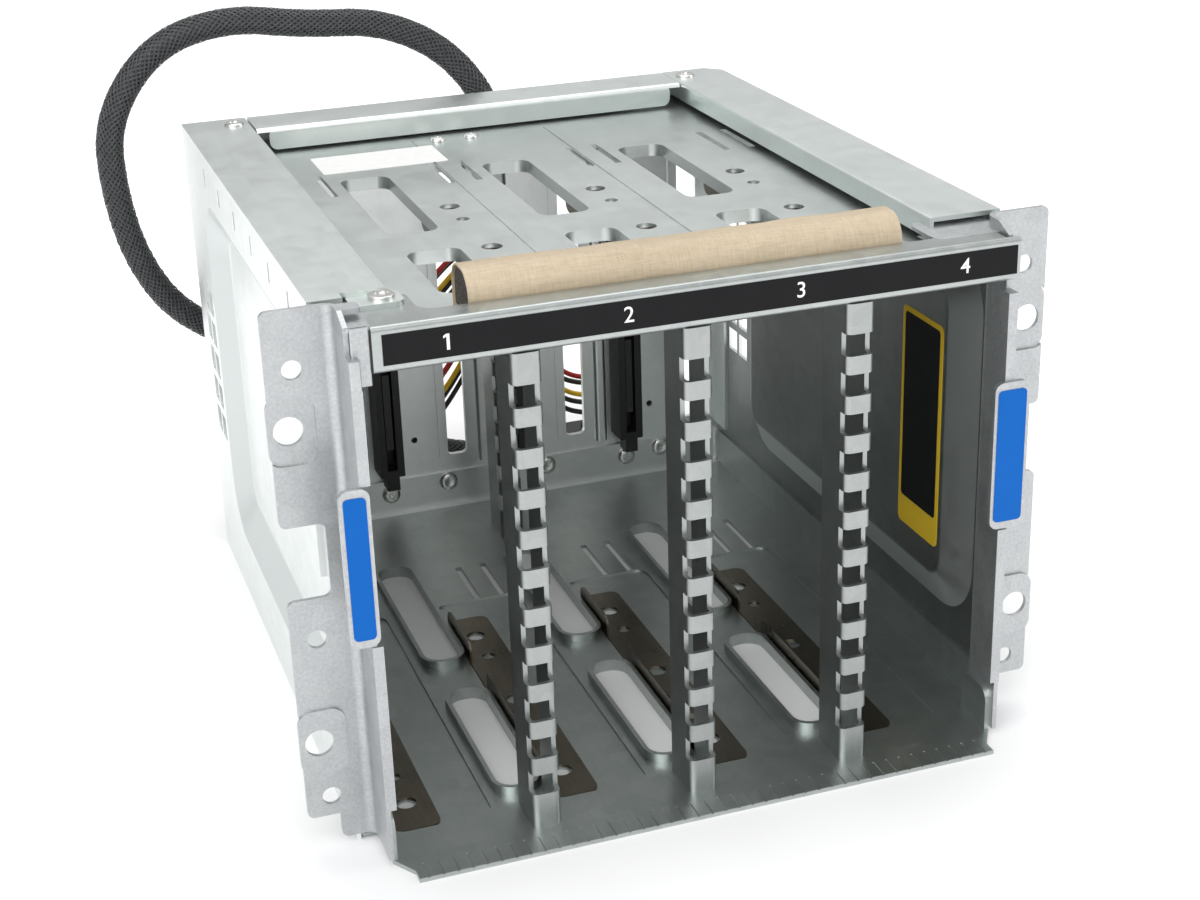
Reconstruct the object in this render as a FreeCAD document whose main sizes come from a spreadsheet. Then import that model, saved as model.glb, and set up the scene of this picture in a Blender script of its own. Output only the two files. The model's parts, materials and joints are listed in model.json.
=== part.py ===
import FreeCAD, Part
import math
import os
import Sketcher

# Four-bay drive cage: folded sheet steel with perforated divider columns.
# Frame: X to the right, Y into the cage, Z up.  The origin is on the underside of
# the floor, on the middle divider column, in line with the front face of the bar.

doc = FreeCAD.newDocument("DriveCage")
sheet = doc.addObject("Spreadsheet::Sheet", "Sizes")


class Dim:
    """A size with both its number and the sheet expression that drives it."""

    def __init__(self, value, text):
        self.value = float(value)
        self.text = text

    def join(self, other, sign, value, flip=False):
        other = dim(other)
        first, second = (other, self) if flip else (self, other)
        return Dim(value(first.value, second.value), f"({first.text} {sign} {second.text})")

    def __add__(self, other):
        return self.join(other, "+", lambda p, q: p + q)

    def __radd__(self, other):
        return self.join(other, "+", lambda p, q: p + q, True)

    def __sub__(self, other):
        return self.join(other, "-", lambda p, q: p - q)

    def __rsub__(self, other):
        return self.join(other, "-", lambda p, q: p - q, True)

    def __mul__(self, other):
        return self.join(other, "*", lambda p, q: p * q)

    def __rmul__(self, other):
        return self.join(other, "*", lambda p, q: p * q, True)

    def __truediv__(self, other):
        return self.join(other, "/", lambda p, q: p / q)

    def __neg__(self):
        return Dim(-self.value, f"(-1 * {self.text})")


def dim(thing):
    return thing if isinstance(thing, Dim) else Dim(thing, f"({float(thing):g})")


def low(first, second):
    first, second = dim(first), dim(second)
    return first if first.value <= second.value else second


def high(first, second):
    first, second = dim(first), dim(second)
    return second if first.value <= second.value else first


class Sizes:
    """Named sizes: each one is a cell of the spreadsheet with its own alias."""

    def __init__(self, cells):
        for row, (name, value) in enumerate(cells.items(), 1):
            sheet.set(f"A{row}", name)
            sheet.set(f"B{row}", f"{value:g}")
            sheet.setAlias(f"B{row}", name)
            setattr(self, name, Dim(value, f"Sizes.{name}"))


def bind(thing, prop, size):
    thing.setExpression(prop, dim(size).text)


sizes = {
    # sheet metal and the bays
    "sheet_thick": 1.0,
    "bend_radius": 1.5,
    "seat_gap": 0.3,
    "bay_pitch": 35.34,
    "bay_height": 106.0,
    "cage_depth": 170.0,
    # divider columns and their windows
    "column_width": 6.3,
    "column_depth": 11.0,
    "column_inner_bend": 0.5,
    "rear_post_in": 30.3,
    "window_first": 8.0,
    "window_pitch": 8.68,
    "window_height": 4.7,
    "window_reach": 2.6,
    "window_count": 11,
    # floor tray
    "tray_lip_y": 8.5,
    "tray_lip_half": 65.6,
    "tray_lip_chamfer": 3.0,
    "tray_step_y": 12.0,
    "tray_flange": 11.0,
    "tray_corner": 3.0,
    "liner_inner": 69.0,
    "side_inner": 73.0,
    "slot_left": 6.0,
    "slot_right": 3.0,
    "slot_radius": 4.0,
    "rim_height": 2.0,
    "front_slot_y": 15.0,
    "front_slot_end": 60.0,
    "rear_slot_y": 75.5,
    "rear_slot_end": 130.0,
    "recess_width": 21.7,
    "recess_rear": 107.3,
    "floor_hole_radius": 1.7,
    "vent_near": 10.5,
    "vent_far": 17.2,
    "vent_width": 1.7,
    "vent_front": 107.5,
    "vent_rear": 127.0,
    "score_width": 0.4,
    "score_deep": 0.2,
    "score_length": 5.5,
    "score_pitch": 3.1,
    "score_count": 42,
    # guide strips
    "guide_offset": 4.4,
    "strip_width": 10.5,
    "strip_thick": 0.5,
    "strip_front": 9.6,
    "strip_rear": 98.0,
    "strip_corner": 2.5,
    "fin_height": 5.0,
    "fin_gap_front": 61.0,
    "fin_gap_rear": 75.0,
    "big_hole_radius": 2.3,
    "small_hole_radius": 1.5,
    "hole_offset": 5.1,
    "hole_mid_y": 54.0,
    "hole_inner": 22.8,
    "hole_outer": 33.9,
    # front bar and its number strip
    "bar_height": 9.2,
    "bar_left": 65.0,
    "bar_right": 71.2,
    "bar_flange": 6.6,
    "bar_end_flange": 18.0,
    "bar_wing_width": 11.0,
    "bar_wing_set": 3.0,
    "bar_fillet": 4.0,
    "bar_lower_flange": 5.0,
    "tab_reach": 8.0,
    "label_height": 6.1,
    "label_left": 63.1,
    "label_right": 70.4,
    "label_thick": 0.15,
    # recessed lid
    "panel_drop": 4.4,
    "panel_flange": 4.0,
    "lid_notch_left": 18.0,
    "lid_notch_right": 14.0,
    "opening_left": 9.1,
    "opening_right": 2.8,
    "lid_rim": 2.0,
    "lid_front_y": 27.0,
    "lid_front_end": 57.0,
    "lid_rear_y": 71.0,
    "lid_rear_end": 121.0,
    "crease_in": 18.4,
    "crease_width": 0.5,
    "crease_deep": 0.25,
    "crease_front": 30.0,
    "crease_rear_in": 20.0,
    # gasket
    "gasket_depth": 12.2,
    "gasket_height": 10.0,
    "gasket_left": 44.2,
    "gasket_right": 47.6,
    "fabric_thick": 0.4,
    "gasket_front_round": 5.4,
    "gasket_rear_round": 4.4,
    # top rails
    "rail_width": 16.5,
    "rail_flange": 4.6,
    "rail_front": 14.0,
    "rail_chamfer": 4.0,
    "tab_width": 9.0,
    "tab_front": 10.4,
    "rear_top_in": 15.0,
    "rear_lip": 5.6,
    "rear_top_fall": 9.0,
    # front brackets
    "ear_y": 10.7,
    "ear_outer": 83.8,
    "ear_top": 118.5,
    "ear_foot": 8.0,
    "ear_toe": 2.0,
    "ear_toe_outer": 77.0,
    "ear_notch_low": 58.0,
    "ear_notch_high": 74.0,
    "ear_notch_inner": 74.8,
    "liner_front": 1.6,
    "liner_bend": 2.0,
    "hem_thick": 2.2,
    "hem_depth": 3.0,
    "liner_top": 105.0,
    "low_hem_from": 14.0,
    "low_hem_to": 51.5,
    "high_hem_from": 85.8,
    "pad_shift": 0.6,
    "pad_height": 14.0,
    "pad_overlap": 0.4,
    "ear_hole_radius": 2.0,
    "ear_big_radius": 3.0,
    "ear_hole_x": 78.5,
    "ear_hole_low": 12.5,
    "ear_hole_mid": 49.0,
    "ear_hole_high": 106.4,
    "ear_big_x": 80.1,
    "ear_big_low": 25.7,
    "ear_big_high": 93.9,
    "pull_low": 52.3,
    "pull_high": 85.8,
    "pull_left_outer": 74.4,
    "pull_left_inner": 68.3,
    "pull_right_outer": 73.4,
    "pull_right_inner": 65.2,
    "pull_thick": 1.2,
    "pull_label": 0.2,
    "pull_border": 0.8,
    "pull_margin": 1.7,
    # side panels
    "tie_width": 3.5,
    "tie_low": 20.0,
    "tie_mid_low": 56.0,
    "tie_mid_high": 62.0,
    "tie_high": 84.0,
    "emboss_depth": 4.0,
    "emboss_run": 9.0,
    "emboss_front": 17.0,
    "emboss_rear_in": 26.0,
    "emboss_low": 18.0,
    "emboss_high": 106.0,
    "emboss_corner": 14.0,
    "emboss_round": 2.5,
    "grid_near_in": 23.0,
    "grid_far_in": 16.0,
    "grid_width": 5.6,
    "grid_low": 39.0,
    "grid_height": 6.4,
    "grid_pitch": 8.5,
    "grid_rows": 5,
    "lance_low": 110.0,
    "lance_high": 114.4,
    "lance_width": 1.2,
    "lance_first": 34.0,
    "lance_pitch": 20.6,
    "lance_count": 6,
    # rear panel and drive connectors
    "rear_flange": 8.0,
    "conn_width": 6.9,
    "conn_depth": 8.0,
    "conn_low": 15.0,
    "conn_high": 78.0,
    "conn_wall": 2.0,
    "conn_recess": 5.0,
    "conn_back": 5.0,
    "conn_tab_drop": 4.0,
    "conn_tab_width": 3.6,
    "conn_tab_depth": 5.0,
    "tongue_thick": 2.0,
    "tongue_end": 8.0,
    "tongue_gap": 6.0,
    "tongue_split": 22.0,
    "cable_slot_in": 21.1,
    "cable_slot_width": 5.6,
    "cable_slot_low": 16.0,
    "cable_slot_high": 98.0,
    "slot_frame": 2.5,
    "slot_frame_height": 0.6,
    "bead_width": 3.4,
    "bead_height": 1.4,
    "bead_in": 0.9,
    "pin_hole_in": 11.7,
    "pin_hole_z": 21.8,
    "pin_hole_radius": 0.9,
    # fasteners
    "screw_radius": 2.6,
    "screw_head": 1.4,
    "flat_screw_radius": 2.7,
    "flat_screw_head": 0.8,
    "floor_screw_z": 7.0,
    "floor_screw_in": 3.7,
    "dome_radius": 2.3,
    "dome_height": 1.0,
    # harness
    "clamp_width": 12.0,
    "clamp_height": 8.0,
    "clamp_wall": 1.5,
    "sleeve_diameter": 8.0,
    "wire_diameter": 1.3,
    "wire_aside": 14.0,
    "wire_rise": 16.0,
    "plug_length": 20.0,
    "plug_width": 14.0,
    "plug_height": 8.0,
    "plug_cell": 1.8,
    "plug_cell_deep": 6.0,
    "plug_pitch": 2.6,
    "plug_columns": 4,
    "latch_width": 4.0,
    "latch_height": 1.2,
    "latch_length": 12.0,
}
s = Sizes(sizes)

t = s.sheet_thick
depth = s.cage_depth
floor_top = t
bar_low = floor_top + s.bay_height
bar_top = bar_low + s.bar_height
lid_top = bar_top - s.panel_drop
lid_low = lid_top - t
rail_low = bar_top + t
rail_top = rail_low + t
side_outer = s.side_inner + t
rear_inner = depth - t
rear_top_y = depth - s.rear_top_in
rear_post_y = depth - s.rear_post_in
emboss_rear = depth - s.emboss_rear_in
grid_near, grid_far = depth - s.grid_near_in, depth - s.grid_far_in
crease_rear = depth - s.crease_rear_in
lid_front = s.bar_flange - t - s.seat_gap
gasket_front = s.bar_flange + s.seat_gap
gasket_rear = gasket_front + s.gasket_depth
rail_inner = side_outer - s.rail_width
top_flange_front = s.bar_end_flange + 4 * t + s.seat_gap

pieces = []


def unit(number):
    return 0 if abs(number) < 1e-9 else math.copysign(1, number)


class Outline:
    """A closed outline whose corners are (x, y) or (x, y, corner radius)."""

    def __init__(self, corners):
        self.corners = [tuple(dim(part) for part in corner) for corner in corners]

    def draw(self, sketch, rules):
        count = len(self.corners)
        stops = []
        for i, corner in enumerate(self.corners):
            x, y = corner[:2]
            if len(corner) == 2:
                stops.append(((x, y), (x, y), None))
                continue
            radius = corner[2]
            before, after = self.corners[i - 1], self.corners[(i + 1) % count]
            ends = []
            for other in (before, after):
                way_x = unit(other[0].value - x.value)
                way_y = unit(other[1].value - y.value)
                ends.append((x + radius * way_x if way_x else x, y + radius * way_y if way_y else y))
            stops.append((ends[0], ends[1], radius))
        lines = []
        for i in range(count):
            start, end = stops[i][1], stops[(i + 1) % count][0]
            lines.append(self.line(sketch, rules, start, end))
        for i in range(count):
            self.corner(sketch, rules, stops[i], lines[i - 1], lines[i])

    @staticmethod
    def line(sketch, rules, start, end):
        first = FreeCAD.Vector(start[0].value, start[1].value, 0)
        last = FreeCAD.Vector(end[0].value, end[1].value, 0)
        line = sketch.addGeometry(Part.LineSegment(first, last), False)
        place(rules, line, 1, start)
        return line

    @staticmethod
    def corner(sketch, rules, stop, before, after):
        arrive, leave, radius = stop
        if radius is None:
            rules.append((Sketcher.Constraint("Coincident", before, 2, after, 1), None))
            return
        place(rules, before, 2, arrive)
        centre_x = arrive[0].value + leave[0].value
        centre_y = arrive[1].value + leave[1].value
        x0, y0 = arrive[0].value, arrive[1].value
        x1, y1 = leave[0].value, leave[1].value
        corner_x, corner_y = Outline.meet(sketch, before, arrive, leave)
        centre = FreeCAD.Vector(centre_x - corner_x, centre_y - corner_y, 0)
        angle0 = math.atan2(y0 - centre.y, x0 - centre.x)
        angle1 = math.atan2(y1 - centre.y, x1 - centre.x)
        turn = (angle1 - angle0) % (2 * math.pi)
        circle = Part.Circle(centre, FreeCAD.Vector(0, 0, 1), radius.value)
        if turn < math.pi:
            arc = sketch.addGeometry(Part.ArcOfCircle(circle, angle0, angle0 + turn), False)
            ends = (1, 2)
        else:
            turn = 2 * math.pi - turn
            arc = sketch.addGeometry(Part.ArcOfCircle(circle, angle1, angle1 + turn), False)
            ends = (2, 1)
        rules.append((Sketcher.Constraint("Coincident", before, 2, arc, ends[0]), None))
        rules.append((Sketcher.Constraint("Coincident", arc, ends[1], after, 1), None))
        rules.append((Sketcher.Constraint("Radius", arc, radius.value), radius))

    @staticmethod
    def meet(sketch, before, arrive, leave):
        line = sketch.Geometry[before]
        level = abs(line.StartPoint.y - line.EndPoint.y) < 1e-9
        if level:
            return leave[0].value, arrive[1].value
        return arrive[0].value, leave[1].value


class Round:
    """A full circle."""

    def __init__(self, x, y, radius):
        self.x, self.y, self.radius = dim(x), dim(y), dim(radius)

    def draw(self, sketch, rules):
        centre = FreeCAD.Vector(self.x.value, self.y.value, 0)
        circle = Part.Circle(centre, FreeCAD.Vector(0, 0, 1), self.radius.value)
        ring = sketch.addGeometry(circle, False)
        place(rules, ring, 3, (self.x, self.y))
        rules.append((Sketcher.Constraint("Radius", ring, self.radius.value), self.radius))


def place(rules, curve, point, spot):
    for kind, size in zip(("DistanceX", "DistanceY"), spot):
        rules.append((Sketcher.Constraint(kind, curve, point, size.value), size))


def rect(x0, x1, y0, y1, radius=None):
    left, right, down, up = low(x0, x1), high(x0, x1), low(y0, y1), high(y0, y1)
    corners = [(left, down), (right, down), (right, up), (left, up)]
    if radius is not None:
        corners = [corner + (radius,) for corner in corners]
    return Outline(corners)


class Piece:
    """One sub-part: a body grown from sketches on its own origin planes."""

    normal = {"XY_Plane": 1, "XZ_Plane": -1, "YZ_Plane": 1}

    def __init__(self, name):
        self.name = name
        self.body = doc.addObject("PartDesign::Body", name)
        self.body.Label = name
        self.body.AllowCompound = True
        pieces.append(self)

    def origin(self, role):
        for feature in self.body.Origin.OriginFeatures:
            if feature.Role == role:
                return feature
        raise ValueError(role)

    def sketch(self, plane, level, outlines):
        sketch = self.body.newObject("Sketcher::SketchObject", f"{self.name}_sketch")
        sketch.AttachmentSupport = [(self.origin(plane), "")]
        sketch.MapMode = "FlatFace"
        bind(sketch, "AttachmentOffset.Base.z", dim(level) * self.normal[plane])
        rules = []
        for outline in outlines:
            outline.draw(sketch, rules)
        sketch.addConstraint([rule for rule, size in rules])
        for i, (rule, size) in enumerate(rules):
            if size is not None:
                sketch.setExpression(f"Constraints[{i}]", size.text)
        return sketch

    def feature(self, kind, plane, start, end, outlines):
        """Pads run along the plane's normal and pockets against it."""
        along = (self.normal[plane] > 0) == (kind == "Pad")
        start, end = low(start, end), high(start, end)
        level = start if along else end
        sketch = self.sketch(plane, level, outlines)
        made = self.body.newObject(f"PartDesign::{kind}", f"{self.name}_{kind.lower()}")
        made.Profile = sketch
        bind(made, "Length", end - start)
        return made

    def add(self, plane, start, end, *outlines):
        return self.feature("Pad", plane, start, end, outlines)

    def cut(self, plane, start, end, *outlines):
        return self.feature("Pocket", plane, start, end, outlines)

    def repeat(self, feature, axis, pitch, count):
        row = self.body.newObject("PartDesign::LinearPattern", f"{self.name}_row")
        row.Originals = [feature]
        row.Direction = (self.origin(axis), [""])
        bind(row, "Length", dim(pitch) * (dim(count) - 1))
        bind(row, "Occurrences", count)
        self.body.Tip = row
        return row

    def loft(self, kind, near, far):
        """near and far are (plane, level, outline) with the same corners."""
        first = self.sketch(near[0], near[1], [near[2]])
        last = self.sketch(far[0], far[1], [far[2]])
        made = self.body.newObject(f"PartDesign::{kind}Loft", f"{self.name}_loft")
        made.Profile = first
        made.Sections = [last]
        made.Ruled = True
        return made

    def soften(self, radius, chosen):
        """Round the edges that the test picks by their middle and direction."""
        doc.recompute()
        base = self.body.Tip
        names = []
        for i, edge in enumerate(base.Shape.Edges):
            if edge.Length < 1e-6 or edge.Curve.TypeId != "Part::GeomLine":
                continue
            middle = (edge.Vertexes[0].Point + edge.Vertexes[-1].Point) * 0.5
            along = edge.Vertexes[-1].Point - edge.Vertexes[0].Point
            if chosen(middle, along / along.Length):
                names.append(f"Edge{i + 1}")
        if not names:
            raise ValueError(f"{self.name}: no edge to round")
        made = self.body.newObject("PartDesign::Fillet", f"{self.name}_fillet")
        made.Base = (base, names)
        bind(made, "Radius", radius)
        return made


def near(number, size, slack=0.02):
    return abs(number - dim(size).value) < slack


def column_centres():
    return [s.bay_pitch * k for k in (-1, 0, 1)]


def guide_edges():
    """Left face of the four guide strips: one a little inside each bay."""
    return [s.bay_pitch * k + s.guide_offset for k in (-2, -1, 0, 1)]


def strip_holes(edge):
    """Round holes in a guide strip, mirrored about its middle."""
    x = edge + s.hole_offset
    mid = s.hole_mid_y
    big = [Round(x, y, s.big_hole_radius) for y in (mid - s.hole_outer, mid, mid + s.hole_outer)]
    return big + [Round(x, y, s.small_hole_radius) for y in (mid - s.hole_inner, mid + s.hole_inner)]


def vents(edge):
    """The pair of short slots behind a guide strip."""
    spans = [(edge + offset, edge + offset + s.vent_width) for offset in (s.vent_near, s.vent_far)]
    return [rect(x0, x1, s.vent_front, s.vent_rear) for x0, x1 in spans]


def base_tray():
    tray = Piece("base_tray")
    lip, wide, inner = s.tray_lip_half, s.side_inner, s.liner_inner
    step, end, flange = s.tray_step_y, rear_inner, s.tray_flange
    tray.add("XY_Plane", 0, t, Outline([
        (-lip, -s.tray_lip_y), (lip, -s.tray_lip_y), (lip, -s.tray_lip_y + s.tray_lip_chamfer), (inner, 0), (inner, step),
        (wide, step), (wide, end), (-wide, end), (-wide, step), (-inner, step), (-inner, 0),
        (-lip, -s.tray_lip_y + s.tray_lip_chamfer)]))
    for side in (-1, 1):
        tray.add("YZ_Plane", side * inner, side * (inner - t),
                 Outline([(0, 0), (step - t, 0), (step - t, flange, s.tray_corner), (0, flange, s.tray_corner)]))
        tray.add("YZ_Plane", side * wide, side * (wide - t),
                 Outline([(step + t, 0), (end, 0), (end, flange), (step + t, flange, s.tray_corner)]))
    tray.add("XZ_Plane", end - t, end, Outline([
        (-wide + 2 * t, 0), (wide - 2 * t, 0), (wide - 2 * t, flange, s.tray_corner),
        (-wide + 2 * t, flange, s.tray_corner)]))
    rims = []
    holes = []
    for centre in column_centres():
        for front, rear in ((s.front_slot_y, s.front_slot_end), (s.rear_slot_y, s.rear_slot_end)):
            left, right = centre - s.slot_left, centre + s.slot_right
            rims.append(rect(left - t, right + t, front - t, rear + t, s.slot_radius + t))
            holes.append(rect(left, right, front, rear, s.slot_radius))
    tray.add("XY_Plane", 0, t + s.rim_height, *rims)
    tray.cut("XY_Plane", 0, t + s.rim_height, *holes)
    recesses = []
    for edge in guide_edges():
        recesses.append(rect(edge - s.seat_gap, edge + s.recess_width, s.strip_front - s.seat_gap,
                             s.recess_rear, s.tray_corner))
    tray.cut("XY_Plane", floor_top - s.strip_thick, floor_top, *recesses)
    tray.cut("XY_Plane", 0, t, *[vent for edge in guide_edges() for vent in vents(edge)])
    seats = [Round(edge + s.hole_offset, s.hole_mid_y + side * s.hole_outer, s.floor_hole_radius)
             for edge in guide_edges() for side in (-1, 1)]
    tray.cut("XY_Plane", 0, t, *seats)
    def outer(middle, along):
        return abs(along.y) > 0.9 and near(middle.z, 0) and abs(abs(middle.x) - wide.value) < 0.1
    tray.soften(s.bend_radius, outer)
    first = -s.score_pitch * (s.score_count - 1) / 2
    score = tray.cut("XY_Plane", floor_top - s.score_deep, floor_top, rect(
        first - s.score_width / 2, first + s.score_width / 2, -s.tray_lip_y - t, -s.tray_lip_y + s.score_length))
    tray.repeat(score, "X_Axis", s.score_pitch, s.score_count)
    return tray


def guide_strip(name, edge, lower):
    """A spring strip with an upright fin; the upper ones hang fin down."""
    strip = Piece(name)
    way = 1 if lower else -1
    seat = floor_top - s.strip_thick if lower else lid_low
    face = seat + way * s.strip_thick
    tip = face + way * s.fin_height
    strip.add("XY_Plane", seat, face,
              rect(edge, edge + s.strip_width, s.strip_front, s.strip_rear, s.strip_corner))
    strip.cut("XY_Plane", seat, face, *strip_holes(edge))
    ends = ((s.strip_front + s.strip_corner, s.fin_gap_front), (s.fin_gap_rear, s.strip_rear - s.strip_corner))
    for front, rear in ends:
        strip.add("YZ_Plane", edge, edge + s.strip_thick, Outline([
            (front, seat), (rear, seat), (rear, tip, s.strip_corner), (front, tip, s.strip_corner)]))
    return strip


def divider_column(name, centre, front, top):
    """A perforated channel: square windows run through both bends."""
    column = Piece(name)
    half, z0, z1 = s.column_width / 2, floor_top, top
    back = front + s.column_depth
    column.add("XY_Plane", z0, z1, Outline([
        (centre - half, front, s.bend_radius), (centre + half, front, s.bend_radius),
        (centre + half, back), (centre + half - t, back),
        (centre + half - t, front + t, s.column_inner_bend),
        (centre - half + t, front + t, s.column_inner_bend),
        (centre - half + t, back), (centre - half, back)]))
    window = column.cut("YZ_Plane", centre - half - t, centre + half + t,
                        rect(front - t, front + s.window_reach, floor_top + s.window_first,
                             floor_top + s.window_first + s.window_height))
    column.repeat(window, "Z_Axis", s.window_pitch, s.window_count)
    return column


def side_panel(side):
    panel = Piece("right_side_panel" if side > 0 else "left_side_panel")
    inner, outer = side * s.side_inner, side * side_outer
    front, end, top = s.ear_y + t, depth, rail_low
    panel.add("YZ_Plane", inner, outer, Outline([(front, 0), (end, 0), (end, top), (front, top)]))
    panel.add("XY_Plane", top - t, top, rect(side * (rail_inner + 2 * t), outer, top_flange_front, end))
    tie = side * (s.side_inner + s.tie_width)
    panel.add("XZ_Plane", front, front + t, rect(inner, tie, s.tie_low, s.tie_mid_low),
              rect(inner, tie, s.tie_mid_high, s.tie_high))
    def field(inset):
        return rect(s.emboss_front + inset, emboss_rear - inset, s.emboss_low + inset,
                    s.emboss_high - inset, s.emboss_corner - inset)
    push, run = side * s.emboss_depth, s.emboss_run
    panel.loft("Additive", ("YZ_Plane", inner, field(dim(0))), ("YZ_Plane", inner - push, field(run)))
    panel.loft("Subtractive", ("YZ_Plane", outer, field(dim(0))), ("YZ_Plane", outer - push, field(run)))
    crests = [(inner - push).value, (outer - push).value]
    def crest(middle, along):
        return abs(along.x) < 0.01 and min(abs(middle.x - level) for level in crests) < 0.01
    panel.soften(s.emboss_round, crest)
    window = panel.cut("YZ_Plane", inner, outer, *[
        rect(y, y + s.grid_width, s.grid_low, s.grid_low + s.grid_height) for y in (grid_near, grid_far)])
    panel.repeat(window, "Z_Axis", s.grid_pitch, s.grid_rows)
    lance = panel.cut("YZ_Plane", inner, outer, rect(s.lance_first - s.lance_width / 2,
                      s.lance_first + s.lance_width / 2, s.lance_low, s.lance_high))
    panel.repeat(lance, "Y_Axis", s.lance_pitch, s.lance_count)
    return panel


def front_bracket(side):
    """The folded front edge: liner wall, hem and the ear with its screw holes."""
    bracket = Piece("right_front_bracket" if side > 0 else "left_front_bracket")
    inner, outer = side * s.liner_inner, side * (s.liner_inner + t)
    ear, front, slope = s.ear_y, -s.liner_front, s.hem_depth
    def at(x):
        return side * x
    bracket.add("YZ_Plane", inner, outer, Outline([
        (front, s.ear_toe), (ear + t, s.ear_toe), (ear + t, s.ear_top), (2 * slope, s.ear_top),
        (front + slope, s.ear_top - 2 * t), (front + slope, s.liner_top), (front, s.liner_top)]))
    edge, root = at(s.ear_outer), at(s.liner_inner + t / 2)
    notch, toe = at(s.ear_notch_inner), at(s.ear_toe_outer)
    low_z, high_z, bend = s.ear_notch_low, s.ear_notch_high, s.bend_radius
    bracket.add("XZ_Plane", ear, ear + t, Outline([
        (root, s.ear_toe), (toe, s.ear_toe, bend), (toe, s.ear_foot), (edge, s.ear_foot, bend),
        (edge, low_z, bend), (notch, low_z, bend), (notch, high_z, bend), (edge, high_z, bend),
        (edge, s.ear_top, bend), (root, s.ear_top)]))
    def inside(middle, along):
        return abs(along.z) > 0.9 and near(abs(middle.x), abs(outer.value)) and near(middle.y, ear)
    def outside(middle, along):
        return abs(along.z) > 0.9 and near(abs(middle.x), abs(inner.value)) and near(middle.y, ear + t)
    bracket.soften(s.liner_bend, inside)
    bracket.soften(s.liner_bend + t, outside)
    if side < 0:
        bracket.add("XY_Plane", s.ear_top - t, s.ear_top,
                    rect(outer, -s.bar_left - s.seat_gap, 2 * slope, s.tab_front - s.seat_gap, t))
    for height, way in ((s.ear_big_high, 1), (s.ear_big_low, -1)):
        z0, z1 = height - s.pad_height / 2, height + s.pad_height / 2
        lap, shift = s.pad_overlap, way * s.pad_shift
        bracket.cut("XZ_Plane", ear, ear + t, rect(notch, edge + side * t, z0, z1, slope))
        bracket.add("XZ_Plane", ear + shift, ear + t + shift,
                    rect(notch - side * lap, edge + side * lap, z0 - lap, z1 + lap, slope))
    holes = [Round(at(s.ear_hole_x), z, s.ear_hole_radius)
             for z in (s.ear_hole_low, s.ear_hole_mid, s.ear_hole_high)]
    holes += [Round(at(s.ear_big_x), z, s.ear_big_radius) for z in (s.ear_big_low, s.ear_big_high)]
    bracket.cut("XZ_Plane", ear - 2 * t, ear + 3 * t, *holes)
    hem_in = side * (s.liner_inner - s.hem_thick + t)
    spans = ((s.low_hem_from, s.low_hem_to), (s.high_hem_from, s.liner_top))
    bracket.add("YZ_Plane", hem_in, outer, *[rect(front - s.pad_overlap, front + s.hem_depth, z0, z1)
                                             for z0, z1 in spans])
    bracket.add("XZ_Plane", front - s.pull_thick, front,
                rect(*pull_edges(side), s.pull_low, s.pull_high, 2 * t))
    return bracket


def pull_edges(side):
    """Inner and outer edge of the finger pad on one side."""
    if side > 0:
        return s.pull_right_inner, s.pull_right_outer
    return -s.pull_left_inner, -s.pull_left_outer


def pull_label(side):
    label = Piece("right_pull_label" if side > 0 else "left_pull_label")
    face = -s.liner_front - s.pull_thick
    near_edge, far_edge = pull_edges(side)
    label.add("XZ_Plane", face - s.pull_label, face,
              rect(near_edge + side * s.pull_border, far_edge - side * s.pull_border,
                   s.pull_low + s.pull_margin, s.pull_high - s.pull_margin, t))
    return label


def front_bar():
    bar = Piece("front_bar")
    left, right = -s.bar_left, s.bar_right
    bar.add("XZ_Plane", 0, t, rect(left, right, bar_low, bar_top))
    deep, shallow, bend = s.bar_end_flange, s.bar_flange, s.bar_fillet
    near_wing, far_wing = left + s.bar_wing_width, right - s.bar_wing_set - s.bar_wing_width
    bar.add("XY_Plane", bar_top - t, bar_top, Outline([
        (left, 0), (right - s.bar_wing_set, 0), (right - s.bar_wing_set, deep), (far_wing, deep),
        (far_wing, shallow, bend), (near_wing, shallow, bend), (near_wing, deep, 2 * t), (left, deep)]))
    bar.add("XY_Plane", bar_low, bar_low + t, rect(left, s.liner_inner - t, 0, s.bar_lower_flange))
    tabs = [rect(centre - s.tab_reach, centre + s.column_width / 2, t, s.column_depth, s.bend_radius)
            for centre in column_centres()]
    bar.add("XY_Plane", bar_low, bar_low + t, *tabs)
    bar.add("YZ_Plane", left, left + t, rect(0, s.bar_lower_flange, bar_low, bar_top))
    def bends(middle, along):
        return abs(along.x) > 0.9 and near(middle.y, 0) and (near(middle.z, bar_top) or near(middle.z, bar_low))
    bar.soften(t, bends)
    return bar


def bay_number_strip():
    strip = Piece("bay_number_strip")
    middle = (bar_low + bar_top) / 2
    strip.add("XZ_Plane", -s.label_thick, 0, rect(-s.label_left, s.label_right, middle - s.label_height / 2,
                                                  middle + s.label_height / 2))
    return strip


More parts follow.
